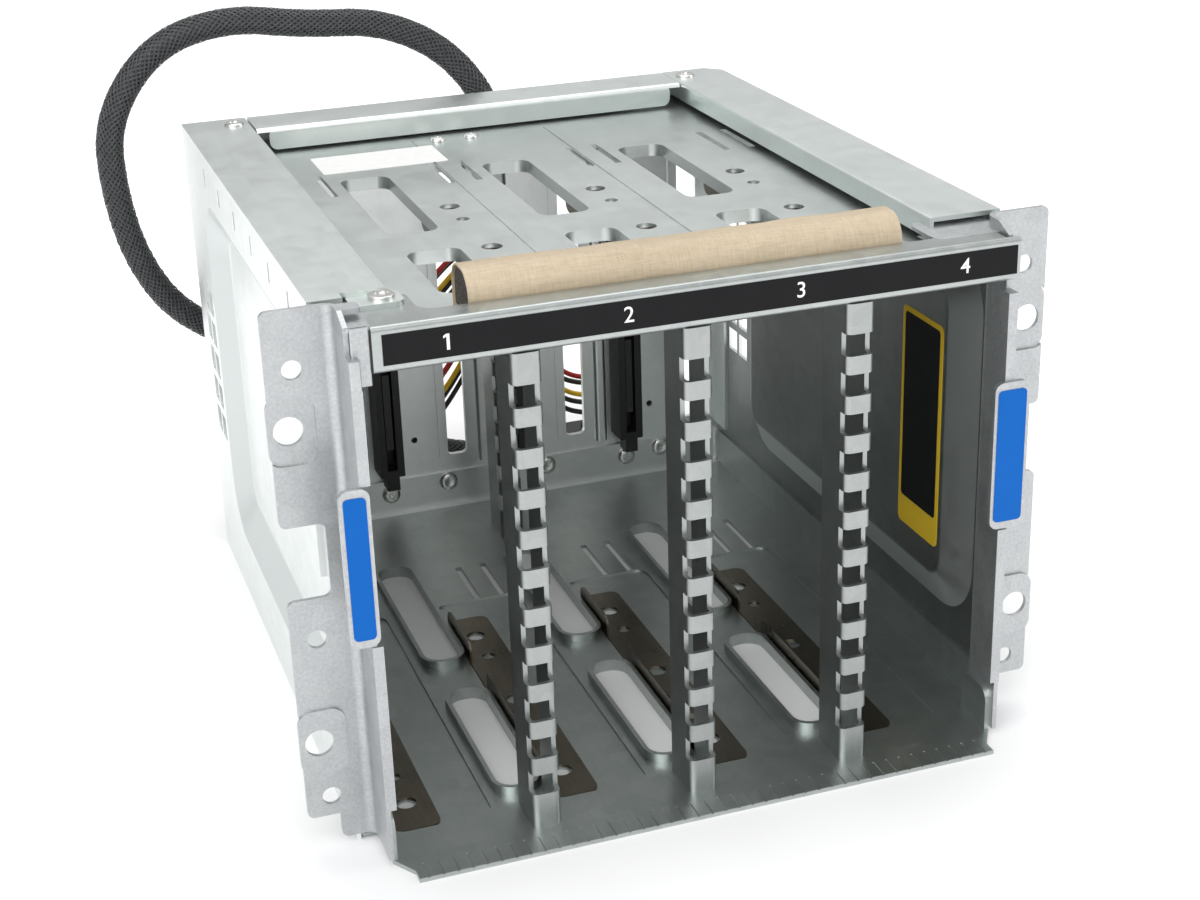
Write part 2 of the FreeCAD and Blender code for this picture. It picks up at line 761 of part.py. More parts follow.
def top_panel():
    """The recessed lid of the bays; it mirrors the floor."""
    lid = Piece("top_panel")
    wide, front, end = s.side_inner, lid_front, rear_inner
    left, right, wing = -wide + s.lid_notch_left, wide - s.lid_notch_right, top_flange_front
    lid.add("XY_Plane", lid_low, lid_top, Outline([
        (-wide, wing), (left, wing), (left, front), (right, front), (right, wing), (wide, wing),
        (wide, end), (-wide, end)]))
    lid.add("XZ_Plane", front, front + t, rect(left + 2 * t, right - 2 * t, lid_low, bar_top - t))
    for side in (-1, 1):
        lid.add("YZ_Plane", side * (wide - t), side * wide,
                rect(wing + t, end, lid_low, lid_low + s.panel_flange))
    rims = []
    holes = []
    for centre in column_centres():
        for front_y, rear_y in ((s.lid_front_y, s.lid_front_end), (s.lid_rear_y, s.lid_rear_end)):
            left, right = centre - s.opening_left, centre + s.opening_right
            rims.append(rect(left - t, right + t, front_y - t, rear_y + t, s.slot_radius))
            holes.append(rect(left, right, front_y, rear_y, s.slot_radius - t))
    lid.add("XY_Plane", lid_low - s.lid_rim, lid_top, *rims)
    lid.cut("XY_Plane", lid_low - s.lid_rim, lid_top, *holes)
    lid.cut("XY_Plane", lid_low, lid_top, *[vent for edge in guide_edges() for vent in vents(edge)])
    seats = []
    for edge in guide_edges():
        seats += strip_holes(edge)
    lid.cut("XY_Plane", lid_low, lid_top, *seats)
    creases = [rect(centre - s.crease_in - s.crease_width, centre - s.crease_in, s.crease_front, crease_rear)
               for centre in column_centres()]
    lid.cut("XY_Plane", lid_top - s.crease_deep, lid_top, *creases)
    return lid


def top_rail(side):
    """A rail along the top edge; the left one has a tab screwed to the bar."""
    rail = Piece("right_top_rail" if side > 0 else "left_top_rail")
    outer, inner = side * side_outer, side * rail_inner
    start = top_flange_front if side < 0 else s.rail_front
    bend, edge = s.bar_end_flange, -s.bar_left - t
    nip = s.rail_chamfer
    if side > 0:
        front = [(inner, s.rail_front), (outer, s.rail_front)]
        rear = [(outer, depth - nip), (outer - nip, depth), (inner, depth)]
    else:
        front = [(inner, bend - t), (edge - t, bend - t), (edge - t, s.rail_front), (outer, s.rail_front)]
        rear = [(outer, depth), (inner, depth)]
    rail.add("XY_Plane", rail_low, rail_top, Outline(front + rear))
    rail.add("YZ_Plane", inner, inner + side * t, Outline([
        (start, rail_top), (depth, rail_top), (depth, rail_top - s.rail_flange),
        (start, rail_top - s.rail_flange, 2 * t)]))
    if side < 0:
        rail.add("XY_Plane", bar_top, rail_low, rect(edge, inner + 2 * t, s.tab_front, bend, 2 * t))
        rail.add("XY_Plane", bar_top, rail_top, rect(edge, inner, bend - t, bend))
    def fold(middle, along):
        return abs(along.y) > 0.9 and near(middle.z, rail_top) and near(middle.x, inner) and middle.y > bend.value
    rail.soften(0.6 * t, fold)
    return rail


def rear_top_rail():
    rail = Piece("rear_top_rail")
    wide = rail_inner - s.seat_gap
    rail.add("XY_Plane", rail_low, rail_top, rect(-wide, wide, rear_top_y, depth))
    rail.add("XZ_Plane", rear_top_y, rear_top_y + t,
             rect(-wide + 3 * t, wide - 3 * t, rail_top - s.rear_lip, rail_top, 2 * t))
    rail.add("XZ_Plane", depth, depth + t, rect(-wide, wide, rail_low - s.rear_top_fall, rail_top))
    def folds(middle, along):
        return abs(along.x) > 0.9 and near(middle.z, rail_top) and (
            near(middle.y, rear_top_y) or near(middle.y, depth + t))
    rail.soften(s.bend_radius, folds)
    return rail


def rear_panel():
    panel = Piece("rear_panel")
    wide = s.side_inner
    panel.add("XZ_Plane", rear_inner, depth, rect(-wide, wide, 0, bar_top))
    for side in (-1, 1):
        panel.add("YZ_Plane", side * wide, side * (wide - t),
                  rect(rear_inner - s.rear_flange, depth, s.tray_flange + 2 * t, lid_low - 2 * t))
    frames = []
    slots = []
    sockets = []
    for edge in guide_edges():
        left, right = edge + s.cable_slot_in, edge + s.cable_slot_in + s.cable_slot_width
        margin = s.slot_frame
        frames.append(rect(left - margin, right + margin, s.cable_slot_low - margin,
                           s.cable_slot_high + margin, margin))
        slots.append(rect(left, right, s.cable_slot_low, s.cable_slot_high, s.bend_radius))
        sockets.append(socket(edge, s.conn_wall - s.seat_gap))
    panel.add("XZ_Plane", rear_inner - s.slot_frame_height, rear_inner, *frames)
    panel.cut("XZ_Plane", rear_inner - s.slot_frame_height, depth, *slots)
    panel.cut("XZ_Plane", rear_inner, depth, *sockets)
    half, height = s.bead_width / 2, s.bead_height
    bend = 0.7 * height
    beads = []
    for centre in column_centres():
        x = centre + s.bead_in
        beads.append(Outline([(x - half, rear_inner - height, bend), (x + half, rear_inner - height, bend),
                              (x + half, rear_inner), (x - half, rear_inner)]))
    panel.add("XY_Plane", s.tray_flange + 2 * t, lid_low - s.lid_rim, *beads)
    pins = [Round(edge + s.pin_hole_in, s.pin_hole_z, s.pin_hole_radius) for edge in guide_edges()]
    panel.cut("XZ_Plane", rear_inner, depth, *pins)
    return panel


def socket(edge, wall):
    """The outline of a drive connector's body, drawn in by a wall."""
    left = edge - s.seat_gap
    return rect(left + wall, left + s.conn_width - wall, s.conn_low + wall, s.conn_high - wall)


def drive_connector(index, edge):
    """The plastic housing and, in its recess, the two contact tongues."""
    holder = Piece(f"connector_holder_{index}")
    face, back, wall = rear_inner - s.conn_depth, rear_inner, s.conn_wall
    holder.add("XZ_Plane", face, back, socket(edge, dim(0)))
    holder.cut("XZ_Plane", face, face + s.conn_recess, socket(edge, wall))
    tab = edge - s.seat_gap + s.conn_width / 2
    holder.add("XZ_Plane", face, face + s.conn_tab_depth, rect(
        tab - s.conn_tab_width / 2, tab + s.conn_tab_width / 2, s.conn_low - s.conn_tab_drop, s.conn_low + t))
    holder.add("XZ_Plane", back, back + s.conn_back, socket(edge, wall))
    tongues = Piece(f"connector_tongue_{index}")
    middle = edge - s.seat_gap + s.conn_width / 2
    z0, z1 = s.conn_low + s.tongue_end, s.conn_high - s.tongue_end
    thick = s.tongue_thick / 2
    tongues.add("XZ_Plane", face + s.conn_recess - s.seat_gap, face + s.conn_recess,
                rect(middle - thick, middle + thick, z0, z1))
    tongues.add("XZ_Plane", face + t, face + s.conn_recess,
                rect(middle - thick, middle + thick, z0, z0 + s.tongue_split),
                rect(middle - thick, middle + thick, z0 + s.tongue_split + s.tongue_gap, z1))
    return holder


def screws(name, plane, level, way, radius, head, spots):
    """Flat round heads seated on a sheet face, all in one node."""
    group = Piece(name)
    group.add(plane, level, level + way * head, *[Round(x, y, radius) for x, y in spots])
    return group


def fasteners():
    spots = [(edge + s.floor_screw_in, s.floor_screw_z) for edge in guide_edges()]
    screws("rear_flange_screws", "XZ_Plane", rear_inner - t, -1, s.screw_radius, s.screw_head, spots)
    tab_y = (s.tab_front + s.bar_end_flange) / 2
    tab_x = -s.bar_left + s.bar_wing_width / 2
    screws("tab_screw", "XY_Plane", rail_low, 1, s.flat_screw_radius, s.flat_screw_head, [(tab_x, tab_y)])
    rail_y = (rear_top_y + depth) / 2
    rail_x = rail_inner + s.rail_width / 4
    lid_spots = [(s.bay_pitch * place, rear_top_y - 3 * s.dome_radius) for place in (-0.1, -0.35)]
    screws("lid_rivets", "XY_Plane", lid_top, 1, s.dome_radius, s.dome_height, lid_spots)
    screws("rail_screws", "XY_Plane", rail_top, 1, s.screw_radius, s.flat_screw_head,
           [(-rail_x, rail_y), (rail_x, rail_y)])


def tube(name, diameter, points):
    """A cord's tube: straight runs joined by arcs as large as the runs allow."""
    spots = [FreeCAD.Vector(*point) for point in points]
    run_share = 0.45
    edges = []
    radii = []
    last = spots[0]
    for before, spot, after in zip(spots, spots[1:], spots[2:]):
        come, go = (spot - before), (after - spot)
        reach = run_share * min(come.Length, go.Length)
        come.normalize()
        go.normalize()
        half = come.getAngle(go) / 2
        radius = reach / math.tan(half)
        radii.append(radius)
        enter, leave = spot - come * reach, spot + go * reach
        inward = (go - come).normalize()
        middle = spot + inward * (radius / math.cos(half) - radius)
        edges.append(Part.LineSegment(last, enter).toShape())
        edges.append(Part.Arc(enter, middle, leave).toShape())
        last = leave
    edges.append(Part.LineSegment(last, spots[-1]).toShape())
    path = Part.Wire(edges)
    ring = Part.Circle(spots[0], (spots[1] - spots[0]), diameter / 2).toShape()
    solid = path.makePipeShell([Part.Wire([ring])], True, False)
    swept = math.pi * diameter * diameter / 4 * path.Length
    print(f"{name}: length {path.Length:.1f}  smallest radius {min(radii):.1f}  "
          f"volume over section times length {solid.Volume / swept:.4f}")
    return solid


def cord(name, solids):
    """One node of a cord's solids, set by its route and not by sketches."""
    thing = doc.addObject("Part::Feature", name)
    thing.Label = name
    thing.Shape = solids[0] if len(solids) == 1 else Part.makeCompound(solids)
    return thing


def laid(point):
    """A harness point, given from the rear face, in the cage's own frame."""
    x, y, z = point
    return x, y + depth.value, z


def wires():
    """Leads from the back of each connector to the underside of the clamp."""
    made = []
    back = (depth - t + s.conn_back).value
    x1, y1, z1 = laid(HARNESS_ROUTE[0])
    floor_z = z1 - s.clamp_height.value
    diameter = s.wire_diameter.value
    for colour, (name, level) in enumerate(WIRE_SETS):
        solids = []
        for number, edge in enumerate(guide_edges()):
            x = (edge - s.seat_gap + s.conn_width / 2).value
            end_x = x1 + (number - 1.5) * 1.25 * diameter
            end_y = y1 + (colour - 1) * 1.25 * diameter
            reach = end_x - x
            aside, rise = math.copysign(s.wire_aside.value, reach), 3
            if abs(reach) < s.bay_pitch.value / 2:
                aside, rise = 0.35 * reach, s.wire_rise.value
            route = [(x, back, level), (x, back + 8, level + 2),
                     (x + aside, back + 9 + diameter * colour, level + rise),
                     (x + 0.85 * reach, end_y + 2, floor_z - 12 - 2 * colour), (end_x, end_y, floor_z - 6),
                     (end_x, end_y, floor_z)]
            solids.append(tube(f"{name} {number + 1}", diameter, route))
        made.append(cord(name, solids))
    return made


def harness():
    """The clamp, the sleeved harness that loops out of it and its far plug."""
    x, y, z = laid(HARNESS_ROUTE[0])
    clamp = Piece("harness_clamp")
    half, wall = s.clamp_width / 2, s.clamp_wall
    top = dim(z)
    clamp.add("XY_Plane", top - s.clamp_height, top, rect(x - half, x + half, depth, y + half, wall))
    sleeve = cord("harness_sleeve", [tube("harness_sleeve", s.sleeve_diameter.value, [laid(point) for point in HARNESS_ROUTE])])
    x, y, z = laid(HARNESS_ROUTE[-1])
    plug = Piece("harness_plug")
    half, tall = s.plug_width / 2, s.plug_height / 2
    end = x + s.plug_length
    plug.add("YZ_Plane", dim(x), end, rect(y - half, y + half, z - tall, z + tall, t))
    cell, first = s.plug_cell / 2, y - s.plug_pitch * (s.plug_columns - 1) / 2
    hole = plug.cut("YZ_Plane", end - s.plug_cell_deep, end, *[
        rect(first - cell, first + cell, z + side * s.plug_pitch / 2 - cell, z + side * s.plug_pitch / 2 + cell)
        for side in (-1, 1)])
    plug.repeat(hole, "Y_Axis", s.plug_pitch, s.plug_columns)
    plug.add("XY_Plane", z + tall, z + tall + s.latch_height,
             rect(end - s.latch_length, end - t, y - s.latch_width / 2, y + s.latch_width / 2))
    return sleeve


def gasket():
    """A foam core with its conductive fabric, laid on the lid behind the bar."""
    left, right, skin_wall = -s.gasket_left, s.gasket_right, s.fabric_thick
    base, top = lid_top, lid_top + s.gasket_height
    rounds = s.gasket_front_round, s.gasket_rear_round
    def profile(inset):
        near_y, far_y = gasket_front + inset, gasket_rear - inset
        return Outline([(near_y, base + inset), (far_y, base + inset), (far_y, top - inset, rounds[1] - inset),
                        (near_y, top - inset, rounds[0] - inset)])
    foam = Piece("gasket_foam")
    foam.add("YZ_Plane", left, right, profile(skin_wall))
    skin = Piece("gasket_fabric")
    skin.add("YZ_Plane", left, right, profile(dim(0)))
    skin.cut("YZ_Plane", left, right, profile(skin_wall))
    return skin


# The harness route, from its clamp up, over to the left and down behind the cage.
HARNESS_ROUTE = [
    (13, 7, 92), (13, 7, 108), (3, 10, 128), (-17, 11, 138.5), (-38, 11, 139.5), (-58, 12, 143.5),
    (-79, 12, 138), (-92, 12, 119), (-92, 13, 99), (-87.5, 15.5, 79), (-78, 19, 62), (-60, 22, 50),
    (-42, 22.5, 36), (-26, 22.5, 20), (-8, 22.5, 7.5), (12, 21, 4), (30, 21, 4)]

# Each colour of lead: its height at the connector and its rise on the way.
WIRE_SETS = [("red_wires", 33), ("yellow_wires", 26), ("black_wires", 19)]

base_tray()
for number, edge in enumerate(guide_edges(), 1):
    guide_strip(f"floor_guide_strip_{number}", edge, True)
    guide_strip(f"top_guide_strip_{number}", edge, False)
    drive_connector(number, edge)
for number, centre in enumerate(column_centres(), 1):
    divider_column(f"divider_column_{number}", centre, dim(0), bar_low)
divider_column("rear_centre_post", dim(0), rear_post_y, lid_low)
for side in (-1, 1):
    side_panel(side)
    front_bracket(side)
    pull_label(side)
    top_rail(side)
front_bar()
bay_number_strip()
top_panel()
rear_top_rail()
rear_panel()
fasteners()
gasket()
cords = [harness()] + wires()

doc.recompute()
for thing in doc.Objects:
    if "Invalid" in thing.State or "Error" in thing.State:
        raise RuntimeError(f"{thing.Name} failed: {thing.State}")
for thing in doc.Objects:
    if thing.TypeId == "PartDesign::Pocket":
        if thing.BaseFeature.Shape.Volume - thing.Shape.Volume < 0.01:
            raise RuntimeError(f"{thing.Name} cuts nothing")
os.makedirs("parts", exist_ok=True)
for thing in [piece.body for piece in pieces] + cords:
    shape = thing.Shape
    if shape.isNull() or not shape.isValid():
        raise RuntimeError(f"{thing.Label} has no valid shape")
    shape.exportStep(f"parts/{thing.Label}.step")
    box = shape.BoundBox
    print(f"{thing.Label:24s} {len(shape.Solids)} solid  volume {shape.Volume:9.1f}  "
          f"x {box.XMin:.1f}..{box.XMax:.1f} y {box.YMin:.1f}..{box.YMax:.1f} z {box.ZMin:.1f}..{box.ZMax:.1f}")
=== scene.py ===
import json
import math

import bmesh
import bpy
from mathutils import Matrix, Vector


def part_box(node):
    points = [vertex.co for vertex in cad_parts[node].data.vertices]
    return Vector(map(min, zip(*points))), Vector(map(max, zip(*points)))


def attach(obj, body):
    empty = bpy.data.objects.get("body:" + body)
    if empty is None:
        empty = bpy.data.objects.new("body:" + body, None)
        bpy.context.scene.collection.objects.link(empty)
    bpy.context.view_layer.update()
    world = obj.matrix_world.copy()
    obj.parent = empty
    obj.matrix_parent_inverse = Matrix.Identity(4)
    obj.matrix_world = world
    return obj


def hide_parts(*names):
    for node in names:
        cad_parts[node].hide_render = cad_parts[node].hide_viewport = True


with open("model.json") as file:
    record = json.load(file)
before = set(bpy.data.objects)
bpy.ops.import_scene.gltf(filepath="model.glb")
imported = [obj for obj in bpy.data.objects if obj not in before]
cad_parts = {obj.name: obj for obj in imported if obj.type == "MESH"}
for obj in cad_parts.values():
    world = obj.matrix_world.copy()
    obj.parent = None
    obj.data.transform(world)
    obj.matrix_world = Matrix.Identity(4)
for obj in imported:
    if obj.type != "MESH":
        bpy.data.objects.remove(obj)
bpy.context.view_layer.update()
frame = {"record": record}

mm = 0.001
hair = 1e-6  # how near a place counts as the same
overlap = 1e-5  # how far joined shapes reach into each other

# camera
camera = {
    "place": (-138.71, -348.58, 239.21), "turn": 18.633, "tilt": 22.802, "roll": -1.910,
    "lens": 60.848, "sensor": 36.0,
}


def setCamera():
    turn, tilt, roll = (math.radians(camera[key]) for key in ("turn", "tilt", "roll"))
    ahead = Vector((math.sin(turn) * math.cos(tilt), math.cos(turn) * math.cos(tilt), -math.sin(tilt)))
    level = Vector((math.cos(turn), -math.sin(turn), 0))
    upright = level.cross(ahead)
    right = level * math.cos(roll) + upright * math.sin(roll)
    up = upright * math.cos(roll) - level * math.sin(roll)
    bpy.ops.object.camera_add()
    eye = bpy.context.object
    eye.data.lens = camera["lens"]
    eye.data.sensor_width = camera["sensor"]
    eye.data.clip_start = 0.01
    axes = Matrix((right, up, -ahead)).transposed().to_4x4()
    eye.matrix_world = Matrix.Translation(Vector(camera["place"]) * mm) @ axes
    bpy.context.scene.camera = eye
    print("camera set")


# shader maths
class Amount:
    def __init__(self, finish, socket):
        self.finish = finish
        self.socket = socket

    def maths(self, operation, *others):
        made = self.finish.node("ShaderNodeMath", {"operation": operation}, self, *others)
        return Amount(self.finish, made.outputs[0])

    def __add__(self, other):
        return self.maths("ADD", other)

    __radd__ = __add__

    def __sub__(self, other):
        return self.maths("SUBTRACT", other)

    def __rsub__(self, other):
        return (self * -1) + other

    def __mul__(self, other):
        return self.maths("MULTIPLY", other)

    __rmul__ = __mul__

    def __truediv__(self, other):
        return self.maths("DIVIDE", other)

    def above(self, level):
        return self.maths("GREATER_THAN", level)

    def clipped(self):
        return self.maths("MAXIMUM", 0.0).maths("MINIMUM", 1.0)


class Finish:
    def __init__(self, name):
        self.material = bpy.data.materials.new(name)
        self.material.use_nodes = True
        self.tree = self.material.node_tree
        self.shader = self.tree.nodes["Principled BSDF"]
        self.spot = self.node("ShaderNodeTexCoord").outputs["Object"]

    def node(self, kind, settings=None, *values, **named):
        made = self.tree.nodes.new(kind)
        for key, setting in (settings or {}).items():
            setattr(made, key, setting)
        for number, value in enumerate(values):
            self.feed(made.inputs[number], value)
        for key, value in named.items():
            self.feed(made.inputs[key], value)
        return made

    def feed(self, socket, value):
        if isinstance(value, Amount):
            value = value.socket
        if isinstance(value, bpy.types.NodeSocket):
            self.tree.links.new(value, socket)
        elif isinstance(value, tuple) and socket.type == "RGBA" and len(value) == 3:
            socket.default_value = (*value, 1.0)
        else:
            socket.default_value = value

    def stretched(self, *scale):
        made = self.node("ShaderNodeMapping", {"vector_type": "POINT"}, Vector=self.spot, Scale=scale)
        return made.outputs[0]

    def noise(self, scale, detail=2.0, rough=0.5, place=None):
        made = self.node("ShaderNodeTexNoise", None, Vector=place or self.spot, Scale=scale,
                         Detail=detail, Roughness=rough)
        return Amount(self, made.outputs["Fac"])

    def crystals(self, scale):
        made = self.node("ShaderNodeTexVoronoi", None, Vector=self.spot, Scale=scale)
        shade = self.node("ShaderNodeSeparateColor", None, made.outputs["Color"])
        return Amount(self, shade.outputs[0])

    def axes(self, place=None):
        made = self.node("ShaderNodeSeparateXYZ", None, place or self.spot)
        return [Amount(self, socket) for socket in made.outputs]

    def facingOut(self, axis):
        normal = self.node("ShaderNodeTexCoord").outputs["Normal"]
        return (self.axes(normal)[axis] * self.axes()[axis]).above(0.0)

    def slope(self, axis, gain):
        normal = self.node("ShaderNodeTexCoord").outputs["Normal"]
        return ((1.0 - self.axes(normal)[axis].maths("ABSOLUTE")) * gain).clipped()

    def mix(self, amount, first, second):
        made = self.node("ShaderNodeMix", {"data_type": "RGBA"})
        self.feed(made.inputs[0], amount)
        self.feed(made.inputs[6], first)
        self.feed(made.inputs[7], second)
        return made.outputs[2]

    def bump(self, height, depth, strength=1.0):
        made = self.node("ShaderNodeBump", None, Height=height, Distance=depth, Strength=strength)
        return made.outputs[0]

    def dress(self, **sockets):
        for key, value in sockets.items():
            self.feed(self.shader.inputs[key.replace("_", " ")], value)
        return self.material


# galvanised sheet
zinc = {
    "crystals": 260.0, "clouds": 22.0, "blotches": 95.0, "specks": 1500.0,
    "grain": 900.0, "grainStretch": (1.0, 0.05, 1.0),
    "scuffs": 260.0, "scuffStretch": (0.12, 1.0, 1.0), "scuffLevel": 0.69,
    "paintedSlopeGain": 9.0, "relief": 0.00008, "reliefStrength": 0.35,
}


def zincSheet(name, deep, pale, rough=0.3, inwardPaintedShading=None, outerSlopePaintedShade=None, axis=0,
              band=None, speckle=0.25):
    steel = Finish(name)
    crystal = steel.crystals(zinc["crystals"])
    cloud = steel.noise(zinc["clouds"], 3.0)
    blotch = steel.noise(zinc["blotches"], 4.0, 0.6)
    grain = steel.noise(zinc["grain"], 2.0, 0.6, steel.stretched(*zinc["grainStretch"]))
    scuff = steel.noise(zinc["scuffs"], 5.0, 0.7, steel.stretched(*zinc["scuffStretch"]))
    scuff = scuff.above(zinc["scuffLevel"])
    speck = steel.noise(zinc["specks"], 3.0, 0.75) - 0.5
    tone = (cloud * 0.3 + blotch * 0.3 + crystal * 0.16 + grain * 0.2 + speck * speckle).clipped()
    shine = rough + blotch * 0.08 + grain * 0.05 + crystal * 0.03 + scuff * 0.08
    relief = grain * 0.4 + blotch * 0.3 + crystal * 0.2 + speck * speckle
    colour = steel.mix(tone, deep, pale)
    if inwardPaintedShading:  # faces turned to the bays get other tones, painted shade on the side panels and painted light on the rear wall; pressed slopes and rims take the pale outer tone there, a painted highlight, and a darker tone on outer faces, painted shade
        slope = steel.slope(axis, zinc["paintedSlopeGain"])
        bayFacePaintedShading = steel.mix(slope, steel.mix(tone, *inwardPaintedShading), pale)
        outsideWithSlopeShade = steel.mix(slope, colour, outerSlopePaintedShade)
        colour = steel.mix(steel.facingOut(axis), bayFacePaintedShading, outsideWithSlopeShade)
    if band:  # a painted tone from this depth on, over a short or long stretch: painted light on the tray's rear flange, painted shade on the lid towards the rear rail
        reached = ((steel.axes()[1] - band["from"] * mm) / (band["span"] * mm)).clipped()
        colour = steel.mix(reached, colour, steel.mix(tone, *band["tones"]))
    return steel.dress(Base_Color=colour, Metallic=1.0, Roughness=shine,
                       Normal=steel.bump(relief, zinc["relief"], zinc["reliefStrength"]))


# guide strips
spring = {
    "clouds": 60.0, "grain": 1200.0, "grainStretch": (1.0, 0.06, 1.0),
    "deep": (0.10, 0.086, 0.066), "pale": (0.27, 0.235, 0.185), "rough": 0.22, "relief": 0.00004,
}


def springSteel():
    steel = Finish("springSteel")
    cloud = steel.noise(spring["clouds"], 4.0, 0.6)
    grain = steel.noise(spring["grain"], 2.0, 0.5, steel.stretched(*spring["grainStretch"]))
    tone = (cloud * 0.8 + grain * 0.3 - 0.1).clipped()
    return steel.dress(Base_Color=steel.mix(tone, spring["deep"], spring["pale"]), Metallic=1.0,
                       Roughness=spring["rough"] + cloud * 0.14,
                       Normal=steel.bump(grain, spring["relief"], 0.3))


# screw heads
screwSteel = {"clouds": 500.0, "deep": (0.62, 0.62, 0.6), "pale": (0.82, 0.82, 0.8), "rough": 0.2}


def brightSteel():
    steel = Finish("brightSteel")
    cloud = steel.noise(screwSteel["clouds"], 3.0)
    colour = steel.mix(cloud, screwSteel["deep"], screwSteel["pale"])
    return steel.dress(Base_Color=colour, Metallic=1.0, Roughness=screwSteel["rough"] + cloud * 0.15)


# labels and inserts
film = {"clouds": 140.0, "grain": 700.0, "paler": 1.12, "lift": 0.004, "sheen": 0.15, "relief": 0.00003}


def printedFilm(name, colour, rough=0.42):
    sheet = Finish(name)
    cloud = sheet.noise(film["clouds"], 3.0)
    paler = tuple(min(1.0, part * film["paler"] + film["lift"]) for part in colour)
    return sheet.dress(Base_Color=sheet.mix(cloud, colour, paler), Roughness=rough + cloud * 0.1,
                       Specular_IOR_Level=film["sheen"],
                       Normal=sheet.bump(sheet.noise(film["grain"], 2.0), film["relief"], 0.25))


# connectors, clamp and wires
moulding = {"clouds": 900.0, "paler": 1.3, "lift": 0.003, "relief": 0.00004}


def mouldedPlastic(name, colour, rough):
    plastic = Finish(name)
    cloud = plastic.noise(moulding["clouds"], 3.0)
    paler = tuple(part * moulding["paler"] + moulding["lift"] for part in colour)
    return plastic.dress(Base_Color=plastic.mix(cloud, colour, paler), Roughness=rough + cloud * 0.12,
                         Normal=plastic.bump(cloud, moulding["relief"], 0.4))


# gasket core
core = {
    "cells": 1500.0, "deep": (0.012, 0.011, 0.01), "pale": (0.09, 0.08, 0.07), "rough": 0.95,
    "relief": 0.0003,
}


def foamCore():
    foam = Finish("foamCore")
    cells = foam.node("ShaderNodeTexVoronoi", {"feature": "F1"}, Vector=foam.spot, Scale=core["cells"])
    poreDepthShade = Amount(foam, cells.outputs["Distance"])
    # pore centres are painted darker than the cell walls, painted shade in the pores; the same value
    # sinks them in the bump
    return foam.dress(Base_Color=foam.mix(poreDepthShade, core["deep"], core["pale"]), Roughness=core["rough"],
                      Normal=foam.bump(poreDepthShade, core["relief"], 0.9))


# gasket cloth
cloth = {
    "threads": 2600.0, "acrossStretch": (1.0, 0.12, 0.12), "aroundStretch": (0.12, 1.0, 1.0),
    "creases": 120.0, "creaseStretch": (0.3, 1.0, 1.0), "deep": (0.30, 0.235, 0.155),
    "pale": (0.665, 0.555, 0.40), "metal": 0.12, "rough": 0.5, "relief": 0.0006,
}


def conductiveCloth():
    wrap = Finish("conductiveCloth")
    across = wrap.noise(cloth["threads"], 2.0, 0.6, wrap.stretched(*cloth["acrossStretch"]))
    around = wrap.noise(cloth["threads"], 2.0, 0.6, wrap.stretched(*cloth["aroundStretch"]))
    weave = across * 0.5 + around * 0.5
    crease = wrap.noise(cloth["creases"], 4.0, 0.6, wrap.stretched(*cloth["creaseStretch"]))
    tone = (weave * 0.9 + crease * 0.5 - 0.2).clipped()
    return wrap.dress(Base_Color=wrap.mix(tone, cloth["deep"], cloth["pale"]), Metallic=cloth["metal"],
                      Roughness=cloth["rough"] + crease * 0.12,
                      Normal=wrap.bump(weave * 0.18 + crease, cloth["relief"], 0.6))


# sleeve strands
strands = {"clouds": 800.0, "deep": (0.016, 0.0175, 0.0185), "pale": (0.055, 0.06, 0.064), "rough": 0.3}


def braid():
    strand = Finish("braidStrand")
    cloud = strand.noise(strands["clouds"], 3.0)
    return strand.dress(Base_Color=strand.mix(cloud, strands["deep"], strands["pale"]),
                        Roughness=strands["rough"] + cloud * 0.15)


# lid label
paper = {
    "fibres": 420.0, "deep": (0.66, 0.66, 0.65), "pale": (0.78, 0.78, 0.77), "rough": 0.45,
    "relief": 0.00003,
}


def labelPaper():
    sheet = Finish("labelPaper")
    fibre = sheet.noise(paper["fibres"], 4.0)
    return sheet.dress(Base_Color=sheet.mix(fibre, paper["deep"], paper["pale"]),
                       Roughness=paper["rough"], Normal=sheet.bump(fibre, paper["relief"], 0.3))


# painted tones: the tray's lighter rear flange is painted light, the lid's darker rear is painted shade
# under the rear rail
trayFlangePaintedLight = {"from": 166.0, "span": 0.2, "tones": ((0.66, 0.69, 0.68), (0.88, 0.90, 0.89))}
lidRearPaintedShade = {"from": 95.0, "span": 50.0, "tones": ((0.47, 0.51, 0.50), (0.6, 0.64, 0.63))}


